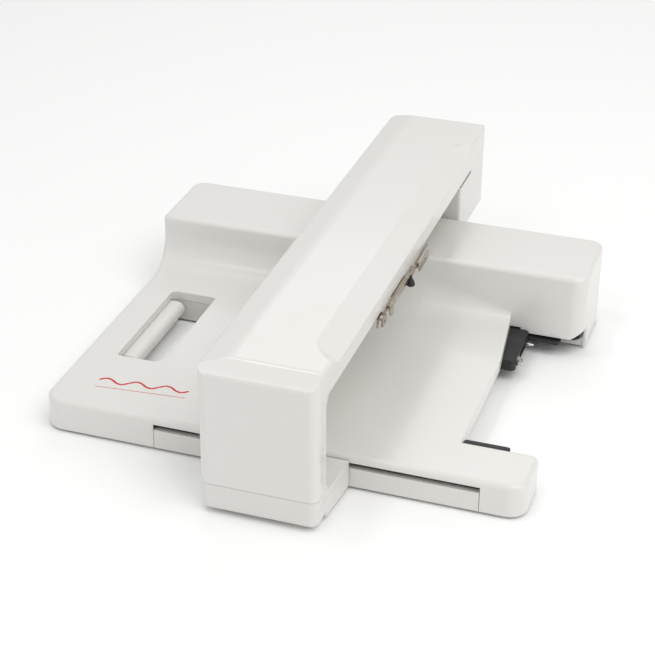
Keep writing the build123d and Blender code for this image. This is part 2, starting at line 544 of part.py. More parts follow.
# ---- the arm and its X carriage -----------------------------------------------------------------------
def x_carriage():
    """Slider on the two X rods."""
    y0, y1 = ROD_YS[0] - 11, ROD_YS[1] + 11
    body = block(ARM_X - 34, ARM_X + 34, y0, y1, ROD_Z + 9, ROD_Z + 14)
    for y in ROD_YS:
        body += block(ARM_X - 34, ARM_X + 34, y - 11, y + 11, ROD_Z - 10, ROD_Z + 9.5)
        body -= rod("x", ARM_X - 35, y, ROD_Z, 8.0, 70)
    return body


def x_bushes():
    """Plain bearings pressed into the slider."""
    made = []
    for y in ROD_YS:
        for x in (ARM_X - 34, ARM_X + 10):
            made.append(rod("x", x, y, ROD_Z, 8.0, 24) - rod("x", x - 1, y, ROD_Z, ROD_R + RUN, 26))
    return Compound(made)


def x_belt_clamp():
    """Clamp that grips the belt's front run."""
    run = BELT_Y - PULLEY_R - BELT_THICK / 2 - RUN
    body = block(ARM_X - 12, ARM_X + 12, run - 5, run + 4, ROD_Z + 14, BELT_Z + BELT_WIDTH + 1.5)
    half = BELT_THICK / 2 + RUN
    return body - block(ARM_X - 13, ARM_X + 13, run - half, run + half, BELT_Z - RUN, BELT_Z + BELT_WIDTH + RUN)


def rear_bracket():
    """Steel bracket from the slider, through the rear cover's slot, up into the arm's rear block."""
    w = BRACKET_HALF - 4
    z0, z1 = REAR_SLOT_Z[0] + 1.5, REAR_SLOT_Z[1] - 1.5
    riser = REAR - 8.0
    body = block(ARM_X - w, ARM_X + w, riser - 12, riser + 3, ROD_Z + 14, ROD_Z + 17)
    body += block(ARM_X - w, ARM_X + w, riser, riser + 3, ROD_Z + 14, z1)
    body += block(ARM_X - w, ARM_X + w, riser, REAR + 34, z0, z1)
    return body


def arm_block_shape(inset):
    """The arm as a full solid: beam, front leg, foot and rear block."""
    x0, x1 = ARM_LEFT + inset, ARM_RIGHT - inset
    y0, y1 = ARM_FRONT + inset, ARM_REAR - inset
    body = block(x0, x1, y0, y1, ARM_BOTTOM + inset, ARM_TOP - inset)
    body += block(x0, x1, y0, ARM_FRONT + LEG_DEPTH - inset, LEG_BOTTOM + inset, ARM_BOTTOM + inset + 1)
    body += block(x0, x1, y0, FRONT - 1.5 - inset, LEG_BOTTOM + inset, FOOT_TOP - inset)
    body += block(x0, x1, BLOCK_FRONT + inset, y1, BLOCK_BOTTOM + inset, ARM_BOTTOM + inset + 1)
    return (body & arm_section(inset) & arm_profile(inset) & arm_plan(inset)) - arm_scoop(inset)


def round_along(solid, axis, corners):
    """Rounds edges parallel to an axis; corners holds the two other coordinates and a radius."""
    for a, b, radius in corners:
        for edge in solid.edges().filter_by(axis):
            c = edge.center()
            here = (c.X, c.Z) if axis == Axis.Y else (c.Y, c.Z)
            if abs(here[0] - a) < 0.1 and abs(here[1] - b) < 0.1:
                solid = fillet(edge, radius)
                break
    return solid


def arm_section(inset):
    """Seen from the front: a long slope down to the left, soft at its crease and edges."""
    x0, x1, top = ARM_LEFT + inset, ARM_RIGHT - inset, ARM_TOP - inset
    points = [(x0, -10), (x1, -10), (x1, top), (x0 + SLOPE_WIDTH, top), (x0, top - SLOPE_DROP)]
    solid = prism("XZ", points, ARM_FRONT - 5, ARM_REAR + 5)
    corners = [(x0 + SLOPE_WIDTH, top, 40.0), (x0, top - SLOPE_DROP, 5.0 - inset), (x1, top, 4.0 - inset)]
    return round_along(solid, Axis.Y, corners)


def arm_profile(inset):
    """Seen from the side: a long bevel along the front of the top."""
    y0, y1, top = ARM_FRONT + inset, ARM_REAR - inset, ARM_TOP - inset
    points = [(y0, -10), (y1, -10), (y1, top), (y0 + BEVEL[0], top), (y0, top - BEVEL[1])]
    solid = prism("YZ", points, ARM_LEFT - 5, ARM_RIGHT + 5)
    corners = [(y0 + BEVEL[0], top, 8.0), (y0, top - BEVEL[1], 6.0 - inset), (y1, top, 6.0 - inset)]
    return round_along(solid, Axis.X, corners)


def arm_plan(inset):
    """Seen from above: rounded corners."""
    x0, x1, y0, y1 = ARM_LEFT + inset, ARM_RIGHT - inset, ARM_FRONT + inset, ARM_REAR - inset
    solid = block(x0, x1, y0, y1, -10, ARM_TOP + 10)
    corners = [(x0, y0, LEG_CORNER - inset), (x1, y0, LEG_CORNER - inset), (x0, y1, 9.0 - inset), (x1, y1, 9.0 - inset)]
    return round_upright(solid, corners)


def arm_scoop(inset):
    """Tool for the long scoop along the top's right side; both its ends run out in a soft sloping facet."""
    far, drop, width = 400.0, 12.5, 24.0
    crease, top = ARM_RIGHT - width, ARM_TOP - inset
    tilt = drop / width
    low = (width + far) * tilt
    tool = prism("XZ", [(crease - far, top + far * tilt), (ARM_RIGHT + far, top - low), (ARM_RIGHT + far, top + far)],
                 FRONT - 70, FRONT + 500)
    for y, way, splay, steep in SCOOP_ENDS:
        end = Box(3 * far, 3 * far, 3 * far, align=(Align.CENTER, Align.MIN, Align.MIN))
        tilted = Rot(0 if way > 0 else 90, 0, 0) * Rot(-steep * way, 0, 0) * end
        end = Pos(crease, y - way * inset, top) * Rot(0, 0, -splay * way) * tilted
        tool &= end
    ends = [e for e in tool.edges() if e.geom_type == GeomType.LINE and e.length > 30 and scoop_end_edge(e, tilt)]
    return soften(tool, ends, SCOOP_SOFT)


def scoop_end_edge(edge, tilt):
    """An edge that runs down the scoop's slope, where an end facet meets it."""
    start, end = edge.position_at(0), edge.position_at(1)
    dx, dz = abs(end.X - start.X), abs(end.Z - start.Z)
    return dx > 20 and abs(dz - dx * tilt) < 0.01 * dx


def soften(solid, edges, radius):
    """Rounds the edges if the kernel can, and otherwise leaves them sharp."""
    try:
        return fillet(edges, radius)
    except Exception:
        return solid


def arm_outer():
    """The full solid with its block's front corner rounded."""
    r = 3.0
    corner = block(ARM_RIGHT - r, ARM_RIGHT + 1, BLOCK_FRONT - 1, BLOCK_FRONT + r, BLOCK_BOTTOM - 1, SLIT[0])
    return arm_block_shape(0) - (corner - rod("z", ARM_RIGHT - r, BLOCK_FRONT + r, 0, r, 200))


def arm_cover():
    """Outer shell: the beam's top and sides, the leg's face and the rear block's walls."""
    outer = arm_outer()
    shell = outer - arm_block_shape(WALL)
    seam_y = ARM_FRONT + LEG_DEPTH - LINER
    far = ARM_RIGHT + 5
    shell -= block(-far, far, ARM_FRONT - 1, seam_y + 0.01, 0, TOE_SEAM)
    shell -= block(-far, far, seam_y, BLOCK_FRONT, 0, FLANGE_BOTTOM)
    shell -= block(RECESS_X, far, BLOCK_FRONT - 1, SLIT_REAR, *SLIT)
    shell -= block(-far, far, BLOCK_FRONT - 1, ARM_REAR + 1, 0, BLOCK_FLOOR + 0.2)
    shell -= block(ARM_LEFT + 3, RECESS_X, BLOCK_FRONT - 1, BLOCK_FRONT + WALL + 1, ARM_BOTTOM, FLANGE_BOTTOM + 2)
    return shell - block(ARM_X - BRACKET_HALF + 2, ARM_X + BRACKET_HALF - 2, BLOCK_FRONT - 1, BLOCK_FRONT + 5,
                         REAR_SLOT_Z[0] + 0.5, REAR_SLOT_Z[1] - 0.5)


def foot_flare(low, high):
    """Wedge that widens the foot to the right, towards the table."""
    start, end = ARM_FRONT + LEG_DEPTH, FRONT - 1.5
    return prism("XY", [(ARM_RIGHT - WALL, start), (ARM_RIGHT, start), (ARM_RIGHT + FOOT_FLARE, end),
                        (ARM_RIGHT - WALL, end)], low, high)


def toe_cover():
    """Lower piece of the leg, round under the foot."""
    outer = arm_block_shape(0) & block(-300, 300, ARM_FRONT - 1, FRONT, 0, TOE_SEAM - 0.3)
    seam_y = ARM_FRONT + LEG_DEPTH - LINER
    outer -= block(-300, 300, seam_y, FRONT + 1, FOOT_SEAM, 60)
    low = [e for e in outer.edges().filter_by(Axis.X) if e.center().Z < LEG_BOTTOM + 0.5 and e.center().Y < ARM_FRONT + 1]
    outer = soften(outer, low, 7.0)
    hollow = block(ARM_LEFT + WALL, ARM_RIGHT - WALL, ARM_FRONT + WALL, seam_y + 1, LEG_BOTTOM + WALL, 60)
    hollow = round_upright(hollow, [(x, ARM_FRONT + WALL, LEG_CORNER - WALL) for x in (ARM_LEFT + WALL, ARM_RIGHT - WALL)])
    hollow += block(ARM_LEFT + WALL, ARM_RIGHT - WALL, seam_y, FRONT - 1.5 - WALL, LEG_BOTTOM + WALL, 60)
    return (outer - hollow) + foot_flare(LEG_BOTTOM, FOOT_SEAM)


LINER_SCREWS = [(x, y) for x in (ARM_LEFT + 24, ARM_RIGHT - 30) for y in (-240.0, -70.0, 90.0)]
BLOCK_SCREWS = [(x, y) for x in (ARM_LEFT + 12, ARM_RIGHT - 12) for y in (BLOCK_FRONT + 12, ARM_REAR - 14)]


def arm_liner():
    """Inner shell: the beam's underside, the leg's inner face and the foot's top."""
    seam_y = ARM_FRONT + LEG_DEPTH - LINER + 0.2
    face_y = ARM_FRONT + LEG_DEPTH
    x0, x1 = ARM_LEFT, ARM_RIGHT
    top = FLANGE_BOTTOM - GAP
    under = block(x0, RECESS_X, face_y, BLOCK_FRONT - GAP, ARM_BOTTOM, top)
    under -= block(x0 + WALL, RECESS_X - WALL, face_y - 1, BLOCK_FRONT + 1, ARM_FLOOR, top + 1)
    under -= block(RECESS_X - WALL - 1, RECESS_X + 1, face_y + 14, BLOCK_FRONT, NECK_TOP - 3, top + 1)
    panel = block(x0, x1, seam_y, face_y, FOOT_SEAM + 0.3, top)
    foot = block(x0, x1, seam_y, FRONT - 1.5, FOOT_SEAM + 0.3, FOOT_TOP)
    foot = fillet([e for e in foot.edges().filter_by(Axis.Y) if e.center().Z > FOOT_TOP - 1], 3.0)
    foot -= block(x0 + WALL, x1 - WALL, seam_y - 1, FRONT - 1.5 - WALL, FOOT_SEAM, FOOT_TOP - WALL)
    foot -= block(ARM_X - 35, ARM_X + 35, FRONT - 10, FRONT, TONGUE_Z[0], TONGUE_Z[1] + 0.3)
    foot += foot_flare(FOOT_SEAM + 0.3, FOOT_TOP) + inner_corner(x0, x1, face_y, FOOT_TOP, 12.0, up=True)
    under += inner_corner(x0, RECESS_X, face_y, ARM_BOTTOM, 12.0, up=False)
    under += inner_corner(RECESS_X - WALL, x1, face_y, top, 12.0, up=False)
    for x, y in LINER_SCREWS:
        under -= rod("z", x, y, ARM_BOTTOM - 1, 1.7, WALL + 2)
    return under + panel + foot


def inner_corner(x0, x1, y, z, radius, up):
    """Concave rounding where the leg's inner face meets the foot or the beam."""
    low, high = (z, z + radius) if up else (z - radius, z)
    centre = z + radius if up else z - radius
    return block(x0, x1, y, y + radius, low, high) - rod("x", x0 - 1, y + radius, centre, radius, x1 - x0 + 2)


def rear_block_base():
    """Plate that closes the rear block from below, with the posts that the arm's bracket is screwed to."""
    plate = block(ARM_LEFT, ARM_RIGHT, BLOCK_FRONT, ARM_REAR, BLOCK_BOTTOM, BLOCK_FLOOR)
    plate = round_upright(plate, [(ARM_LEFT, ARM_REAR, 9.0), (ARM_RIGHT, ARM_REAR, 9.0), (ARM_RIGHT, BLOCK_FRONT, 3.0)])
    plate = fillet(plate.edges().group_by(Axis.Z)[0], 1.5)
    for x in (ARM_X - 18, ARM_X + 18):
        plate += rod("z", x, REAR + 24, BLOCK_FLOOR - 0.5, 5.0, REAR_SLOT_Z[0] + 2 - BLOCK_FLOOR)
    for x, y in BLOCK_SCREWS:
        plate -= rod("z", x, y, BLOCK_BOTTOM - 1, 1.7, WALL + 2)
    return plate


TONGUE_Z = (UNDER + 21.5, UNDER + 24.0)


def front_tongue():
    """Steel plate from the foot through the front slot; an ear holds the roller's axle."""
    body = block(ARM_X - 34, ARM_X + 34, FRONT - 9, ROLLER_Y + 8, *TONGUE_Z)
    ear = block(ARM_X - 7, ARM_X + 7, ROLLER_Y + 6, ROLLER_Y + 8, ROLLER_Z - 3.4, TONGUE_Z[0] + 0.1)
    return body + ear - rod("y", ARM_X, ROLLER_Y + 4, ROLLER_Z, 1.5, 6)


def front_axle():
    return rod("y", ARM_X, ROLLER_Y - 5.5, ROLLER_Z, 1.5, 13.5) + rod("y", ARM_X, ROLLER_Y - 6.5, ROLLER_Z, 2.5, 1.0)


def front_roller():
    return rod("y", ARM_X, ROLLER_Y - 5, ROLLER_Z, ROLLER_R, 10) - rod("y", ARM_X, ROLLER_Y - 6, ROLLER_Z, 1.5 + RUN, 12)


def front_rail():
    """Steel rail under the arm's front roller."""
    top = ROLLER_Z - ROLLER_R - 0.3
    rail = block(SLOT_LEFT + 6, SLOT_RIGHT - 6, ROLLER_Y - 6, ROLLER_Y + 4, top - 2, top)
    return rail + block(SLOT_LEFT + 6, SLOT_RIGHT - 6, ROLLER_Y + 2, ROLLER_Y + 4, UNDER + TRAY, top)


def arm_frame():
    """Folded steel channel that stiffens the beam."""
    x0, x1 = ARM_LEFT + WALL + 1, ARM_LEFT + WALL + 13
    y0, y1 = ARM_FRONT + LEG_DEPTH + 16, BLOCK_FRONT + 30
    frame = block(x0, x1, y0, y1, ARM_FLOOR, ARM_FLOOR + 2)
    frame += block(x0, x0 + 2, y0, y1, ARM_FLOOR, ARM_TOP - 16)
    return frame + block(x0, x1, y0, y1, ARM_TOP - 18, ARM_TOP - 16)


Y_ROD_ENDS = (ARM_FRONT + 40.0, ARM_REAR - 48.0)


def y_guide_rods():
    return Compound([rod("y", x, Y_ROD_ENDS[0], Y_ROD_Z, Y_ROD_R, Y_ROD_ENDS[1] - Y_ROD_ENDS[0]) for x in Y_ROD_XS])


def y_rod_supports():
    """End blocks of the Y rods; the rear one stands on the rear block's floor."""
    made = []
    for y, base in ((Y_ROD_ENDS[0], ARM_FLOOR), (Y_ROD_ENDS[1] - 8, BLOCK_FLOOR)):
        plate = block(Y_ROD_XS[0] - 7, Y_ROD_XS[1] + 7, y, y + 8, base, Y_ROD_Z + 7)
        for x in Y_ROD_XS:
            plate -= rod("y", x, y - 1, Y_ROD_Z, Y_ROD_R, 10)
        made.append(plate)
    return Compound(made)


def y_motor():
    y = Y_PULLEYS[1]
    body = block(Y_BELT_X - 18, Y_BELT_X + 18, y - 18, y + 18, 96, 132)
    body = chamfer(body.edges().filter_by(Axis.Z), 4.0)
    body += rod("z", Y_BELT_X, y, 132, 11.0, 2.0)
    return body - rod("z", Y_BELT_X, y, 118, 2.5 + RUN, 20)


def y_motor_bracket():
    y = Y_PULLEYS[1]
    plate = block(Y_BELT_X - 18, Y_BELT_X + 18, y - 18, y + 18, 92, 96)
    for x in (Y_BELT_X - 12, Y_BELT_X + 12):
        plate += block(x - 3, x + 3, y - 16, y + 16, BLOCK_FLOOR, 92)
    return plate


def y_drive_pulley():
    return pulley(Y_BELT_X, Y_PULLEYS[1], Y_BELT_Z, shaft_below=22.0)


def y_idler_pulley():
    return pulley(Y_BELT_X, Y_PULLEYS[0], Y_BELT_Z, shaft_below=14.0)


def y_idler_post():
    y = Y_PULLEYS[0]
    post = block(Y_BELT_X - 9, Y_BELT_X + 9, y - 9, y + 9, ARM_FLOOR, Y_BELT_Z - 4)
    return post - rod("z", Y_BELT_X, y, Y_BELT_Z - 17, 2.5 + RUN, 30)


def arm_screws():
    """Screws driven up through the liner and the rear block's base."""
    places = [(x, y, ARM_BOTTOM) for x, y in LINER_SCREWS] + [(x, y, BLOCK_BOTTOM) for x, y in BLOCK_SCREWS]
    return Compound([screw(x, y, z, radius=1.6, length=WALL, head=3.0) for x, y, z in places])


# ---- the hoop carriage --------------------------------------------------------------------------------
STRIP_TOP = NECK_TOP + 1.4
CLIP_Z = (NECK_TOP - 1.7, NECK_TOP - 0.1)
KNOB_PLACE = (HOOP_X + 5.0, CARRIAGE_Y + 25.0)


def y_carriage():
    """Slider on the arm's two rods."""
    y0, y1 = CARRIAGE_Y - 28, CARRIAGE_Y + 28
    body = block(Y_ROD_XS[0] - 8, Y_ROD_XS[1] + 8, y0, y1, NECK_TOP + 1.7, Y_ROD_Z + 7)
    for x in Y_ROD_XS:
        body -= rod("y", x, y0 - 1, Y_ROD_Z, 6.0, 58)
    return body


def y_bushes():
    """Plain bearings pressed into the slider."""
    made = []
    for x in Y_ROD_XS:
        for y in (CARRIAGE_Y - 28, CARRIAGE_Y + 8):
            made.append(rod("y", x, y, Y_ROD_Z, 6.0, 20) - rod("y", x, y - 1, Y_ROD_Z, Y_ROD_R + RUN, 22))
    return Compound(made)


def y_belt_clamp():
    """Clamp between the slider and the belt's right run."""
    run = Y_BELT_X + PULLEY_R + BELT_THICK / 2 + RUN
    half = BELT_THICK / 2 + RUN
    y0, y1 = CARRIAGE_Y - 10, CARRIAGE_Y + 10
    body = block(run - 4, Y_ROD_XS[0] - 8, y0, y1, Y_ROD_Z, Y_ROD_Z + 6)
    body += block(run - 4, run + 4, y0, y1, Y_ROD_Z, Y_BELT_Z + BELT_WIDTH + 1.5)
    return body - block(run - half, run + half, y0 - 1, y1 + 1, Y_BELT_Z - RUN, Y_BELT_Z + BELT_WIDTH + RUN)


def hoop_neck():
    """Steel plate from the slider out below the arm cover's right side."""
    plate = block(Y_ROD_XS[0] - 6, HOOP_X + 2.4, CARRIAGE_Y - 22, CARRIAGE_Y + 22, NECK_TOP - 1.6, NECK_TOP)
    return plate + block(Y_ROD_XS[0] - 4, Y_ROD_XS[1] + 4, CARRIAGE_Y - 20, CARRIAGE_Y + 20, NECK_TOP, NECK_TOP + 1.7)


def hoop_bracket():
    """Folded strip that carries the hoop, screwed to the neck; a rounded lug hangs near its front end."""
    y0, y1 = CARRIAGE_Y - 43, CARRIAGE_Y + 43
    body = block(HOOP_X, HOOP_X + 4.2, y0, y1, NECK_TOP, STRIP_TOP)
    body += block(HOOP_X - 8, HOOP_X + 1, CARRIAGE_Y - 21, CARRIAGE_Y + 21, NECK_TOP, STRIP_TOP)
    body += block(HOOP_X + 2.8, HOOP_X + 4.2, y0, y1, NECK_TOP - 4.6, STRIP_TOP)
    lug = block(HOOP_X + 2.8, HOOP_X + 4.2, y0 + 2, y0 + 12, NECK_TOP - 12, NECK_TOP - 4)
    body += fillet([e for e in lug.edges().filter_by(Axis.X) if e.center().Z < NECK_TOP - 11], 4.0)
    for y in (CARRIAGE_Y - 14, CARRIAGE_Y + 14):
        body -= rod("z", HOOP_X - 4, y, NECK_TOP - 1, 1.55, 4)
    return body - rod("z", *KNOB_PLACE, NECK_TOP - 6, 5.2, 6.0)


def front_clip():
    """Front hoop clip: stepped arm, cross-bar, holed plate and a peg that hangs from the cross-bar."""
    y0 = CARRIAGE_Y - 43
    z0, z1 = CLIP_Z
    x = HOOP_X
    body = block(x + 0.3, x + 2.6, y0 - 12, y0 + 7, z0, z1)
    body += block(x - 2.6, x + 2.6, y0 - 14, y0 - 11, z0, z1)
    body += block(x - 2.6, x - 0.2, y0 - 22, y0 - 11, z0, z1)
    body += block(x - 4.0, x + 4.4, y0 - 24.4, y0 - 22, z0, z1)
    body += block(x + 3.0, x + 4.4, y0 - 24.4, y0 - 12, z0 - 7, z1)
    body -= rod("x", x + 2, y0 - 18, z0 - 3, 1.6, 4)
    return body + rod("z", x - 1.0, y0 - 23.2, z0 - 9, 1.2, 9.5)


def rear_clip():
    """Rear hoop clip: stepped arm, holed plate and long spring bar."""
    y1 = CARRIAGE_Y + 43
    z0, z1 = CLIP_Z
    x = HOOP_X
    body = block(x + 0.3, x + 2.6, y1 - 7, y1 + 4, z0, z1)
    body += block(x + 0.3, x + 6.4, y1 + 1.5, y1 + 4, z0, z1)
    body += block(x + 3.6, x + 6.4, y1 + 1.5, y1 + 12, z0, z1)
    body += block(x + 0.3, x + 6.4, y1 + 9.5, y1 + 12, z0, z1)
    body += block(x + 0.3, x + 1.8, y1 + 9.5, y1 + 55, z0 - 1.2, z1)
    body += block(x + 5.0, x + 6.4, y1 + 9.5, y1 + 42, z0 - 7, z1)
    body -= rod("x", x + 4, y1 + 28, z0 - 3, 2.2, 4)
    return body


def hoop_pins():
    """Dark locating pins beside the clips."""
    y0, y1 = CARRIAGE_Y - 43, CARRIAGE_Y + 43
    pins = [rod("z", HOOP_X - 1.4, y0 - 15.5, CLIP_Z[1], 1.4, 1.8), rod("z", HOOP_X + 5.0, y1 + 5.6, CLIP_Z[1], 1.2, 1.8)]
    return Compound(pins)


def hoop_knob():
    """Black conical knob under the bracket."""
    cone = Pos(*KNOB_PLACE, NECK_TOP - 5.5) * Cone(4.8, 1.2, 11.0)
    return fillet(cone.edges().group_by(Axis.Z)[0], 1.4)


def bracket_screws():
    """Low-head screws that hold the strip to the neck."""
    made = []
    for y in (CARRIAGE_Y - 14, CARRIAGE_Y + 14):
        made.append(rod("z", HOOP_X - 4, y, NECK_TOP, 1.5, 1.8))
    return Compound(made)


NODES = {
    "top_cover": top_cover, "bottom_tray": bottom_tray, "base_screws": base_screws,
    "front_skirt": front_skirt, "slot_brush": slot_brush, "rear_cover": rear_cover, "overhang_floor": overhang_floor,
    "rubber_feet": rubber_feet, "dock_housing": dock_housing, "dock_contacts": dock_contacts, "dock_pins": dock_pins,
    "dock_bar": dock_bar, "notch_strip": notch_strip, "control_board": control_board, "board_parts": board_parts,
    "dock_ribbon": dock_ribbon, "release_lever": release_lever, "release_link": release_link,
    "release_latch": release_latch, "x_guide_rods": x_guide_rods,
    "x_rod_supports": x_rod_supports, "x_motor": x_motor, "x_motor_bracket": x_motor_bracket,
    "x_drive_pulley": x_drive_pulley, "x_idler_pulley": x_idler_pulley, "x_idler_post": x_idler_post,
    "x_home_sensor": x_home_sensor, "x_carriage": x_carriage, "x_bushes": x_bushes, "x_belt_clamp": x_belt_clamp,
    "rear_bracket": rear_bracket, "arm_cover": arm_cover, "toe_cover": toe_cover, "arm_liner": arm_liner,
    "rear_block_base": rear_block_base, "front_tongue": front_tongue, "front_axle": front_axle,
    "front_roller": front_roller, "front_rail": front_rail, "arm_frame": arm_frame, "y_guide_rods": y_guide_rods,
    "y_rod_supports": y_rod_supports, "y_motor": y_motor, "y_motor_bracket": y_motor_bracket,
    "y_drive_pulley": y_drive_pulley, "y_idler_pulley": y_idler_pulley, "y_idler_post": y_idler_post,
    "arm_screws": arm_screws, "y_carriage": y_carriage, "y_bushes": y_bushes, "y_belt_clamp": y_belt_clamp,
    "hoop_neck": hoop_neck, "hoop_bracket": hoop_bracket, "front_clip": front_clip, "rear_clip": rear_clip,
    "hoop_knob": hoop_knob, "hoop_pins": hoop_pins,
    "bracket_screws": bracket_screws, "x_belt": lambda: belt_loop("x", X_PULLEYS, BELT_Y, BELT_Z, PULLEY_R + RUN),
    "y_belt": lambda: belt_loop("y", Y_PULLEYS, Y_BELT_X, Y_BELT_Z, PULLEY_R + RUN),
}

if __name__ == "__main__":
    os.makedirs("parts", exist_ok=True)
    for name, make in NODES.items():
        export_step(make(), f"parts/{name}.step")
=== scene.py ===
import bmesh
import bpy
import json
import math
import random
from mathutils import Matrix, Vector


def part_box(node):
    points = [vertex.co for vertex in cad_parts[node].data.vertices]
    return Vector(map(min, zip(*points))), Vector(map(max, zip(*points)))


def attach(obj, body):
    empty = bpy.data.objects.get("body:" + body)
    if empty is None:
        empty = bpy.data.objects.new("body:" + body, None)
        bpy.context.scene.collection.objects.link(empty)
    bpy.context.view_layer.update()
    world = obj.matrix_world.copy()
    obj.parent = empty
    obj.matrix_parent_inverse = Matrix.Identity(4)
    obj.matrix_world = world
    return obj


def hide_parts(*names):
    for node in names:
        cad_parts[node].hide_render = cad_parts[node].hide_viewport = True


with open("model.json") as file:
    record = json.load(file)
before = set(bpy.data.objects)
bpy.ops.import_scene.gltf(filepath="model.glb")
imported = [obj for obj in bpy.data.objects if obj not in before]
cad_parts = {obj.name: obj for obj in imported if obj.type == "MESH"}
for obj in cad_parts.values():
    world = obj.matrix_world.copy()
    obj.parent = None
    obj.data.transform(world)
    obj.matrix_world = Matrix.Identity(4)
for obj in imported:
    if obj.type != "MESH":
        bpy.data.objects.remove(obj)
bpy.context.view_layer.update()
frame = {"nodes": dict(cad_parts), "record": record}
nodes = frame["nodes"]
print("frame loaded:", len(nodes), "CAD nodes")


class Val:  # a number socket that can be added, scaled and compared in plain expressions
    def __init__(self, graph, socket):
        self.graph, self.socket = graph, socket

    def math(self, operation, *others, flip=False):
        values = [self.raw(o) for o in others]
        values = values[:1] + [self.socket] if flip else [self.socket] + values
        return self.graph.node("ShaderNodeMath", {"operation": operation}, dict(enumerate(values)))

    @staticmethod
    def raw(other):
        return other.socket if isinstance(other, Val) else other

    def __add__(self, other):
        return self.math("ADD", other)

    def __radd__(self, other):
        return self.math("ADD", other)

    def __sub__(self, other):
        return self.math("SUBTRACT", other)

    def __rsub__(self, other):
        return self.math("SUBTRACT", other, flip=True)

    def __mul__(self, other):
        return self.math("MULTIPLY", other)

    def __rmul__(self, other):
        return self.math("MULTIPLY", other)

    def __truediv__(self, other):
        return self.math("DIVIDE", other)

    def __rtruediv__(self, other):
        return self.math("DIVIDE", other, flip=True)

    def __pow__(self, other):
        return self.math("POWER", other)

    def __gt__(self, other):
        return self.math("GREATER_THAN", other)

    def __lt__(self, other):
        return self.math("LESS_THAN", other)


class Graph:  # one material's node tree
    def __init__(self, name):
        self.material = bpy.data.materials.new(name)
        self.material.use_nodes = True
        self.tree = self.material.node_tree
        self.tree.nodes.clear()
        self.output = self.tree.nodes.new("ShaderNodeOutputMaterial")

    def node(self, kind, settings=None, inputs=None, out=0):
        made = self.tree.nodes.new(kind)
        for key, value in (settings or {}).items():
            if key == "stops":
                ramp = made.color_ramp
                while len(ramp.elements) < len(value):
                    ramp.elements.new(0.5)
                for element, (place, colour) in zip(ramp.elements, value):
                    element.position, element.color = place, colour
            else:
                setattr(made, key, value)
        for key, value in (inputs or {}).items():
            value = Val.raw(value)
            if isinstance(value, bpy.types.NodeSocket):
                self.tree.links.new(value, made.inputs[key])
            else:
                made.inputs[key].default_value = value
        return Val(self, made.outputs[out])

    def place(self, scale=(1, 1, 1), turn=(0, 0, 0)):
        at = self.node("ShaderNodeTexCoord", out="Object")
        return self.node("ShaderNodeMapping", inputs={"Vector": at, "Scale": scale, "Rotation": turn})

    def noise(self, where, scale, detail=3.0, rough=0.5, distort=0.0):
        return self.node("ShaderNodeTexNoise", inputs={"Vector": where, "Scale": scale, "Detail": detail,
                                                       "Roughness": rough, "Distortion": distort})

    def ramp(self, value, low, high, lowTo=0.0, highTo=1.0):
        return self.node("ShaderNodeMapRange", inputs={"Value": value, "From Min": low, "From Max": high,
                                                       "To Min": lowTo, "To Max": highTo})

    def mix(self, factor, a, b, blend="MIX"):
        return self.node("ShaderNodeMix", {"data_type": "RGBA", "blend_type": blend},
                         {"Factor": factor, 6: rgba(a), 7: rgba(b)}, out=2)

    def bump(self, height, distance, strength=1.0, under=None):
        inputs = {"Height": height, "Distance": distance, "Strength": strength}
        if under is not None:
            inputs["Normal"] = under
        return self.node("ShaderNodeBump", inputs=inputs)

    def crisp(self, radius):  # a hair of rounding where two moulded faces meet
        return self.node("ShaderNodeBevel", {"samples": 4}, {"Radius": radius})

    def shade(self, sockets):
        shader = self.node("ShaderNodeBsdfPrincipled", inputs=sockets)
        self.tree.links.new(shader.socket, self.output.inputs["Surface"])
        return self.material


def rgba(colour):
    return (*colour, 1.0) if isinstance(colour, tuple) and len(colour) == 3 else colour


def mouldedWhite(name, colour, gloss, grain, grainDepth, coat):
    # injection-moulded shell: orange peel, spark-eroded grain, handling marks and a trace of yellowing
    g = Graph(name)
    at = g.place()
    clouds = g.noise(at, 5.0, 4.0)
    marks = g.ramp(g.noise(at, 26.0, 5.0, 0.62, 0.4), 0.50, 0.74)
    peel = g.noise(at, 420.0, 2.0)
    fine = g.noise(at, grain, 2.0, 0.7)
    hair = g.noise(g.place((1.0, 26.0, 3.0), (0.2, 0.1, 0.5)), 90.0, 2.0)
    scratch = g.ramp(hair, 0.70, 0.78) * g.ramp(clouds, 0.45, 0.62)
    worn = tuple(c * f for c, f in zip(colour, (0.985, 0.975, 0.945)))
    base = g.mix(g.ramp(clouds, 0.35, 0.70) * 0.55 + marks * 0.18, colour, worn)
    rough = gloss + marks * 0.10 + (fine - 0.5) * 0.06 + scratch * 0.10
    normal = g.bump(peel, 0.00003, under=g.bump(fine + scratch * -0.6, grainDepth, under=g.crisp(0.0006)))
    return g.shade({"Base Color": base, "Roughness": rough, "Normal": normal, "Coat Weight": coat,
                    "Coat Roughness": 0.11, "IOR": 1.49})


def mouldedDark(name, colour, gloss):
    # black engineering plastic with a matt grain, lint and rubbed patches
    g = Graph(name)
    at = g.place()
    grain = g.noise(at, 1500.0, 2.0, 0.7)
    rubbed = g.ramp(g.noise(at, 60.0, 4.0, 0.6), 0.50, 0.72)
    lint = g.ramp(g.noise(at, 700.0, 1.0, 0.4, 1.5), 0.72, 0.80)
    base = g.mix(rubbed * 0.35 + lint * 0.5, colour, tuple(c * 2.4 + 0.015 for c in colour))
    rough = gloss - rubbed * 0.14 + lint * 0.2
    return g.shade({"Base Color": base, "Roughness": rough, "Normal": g.bump(grain, 0.00006), "IOR": 1.50})


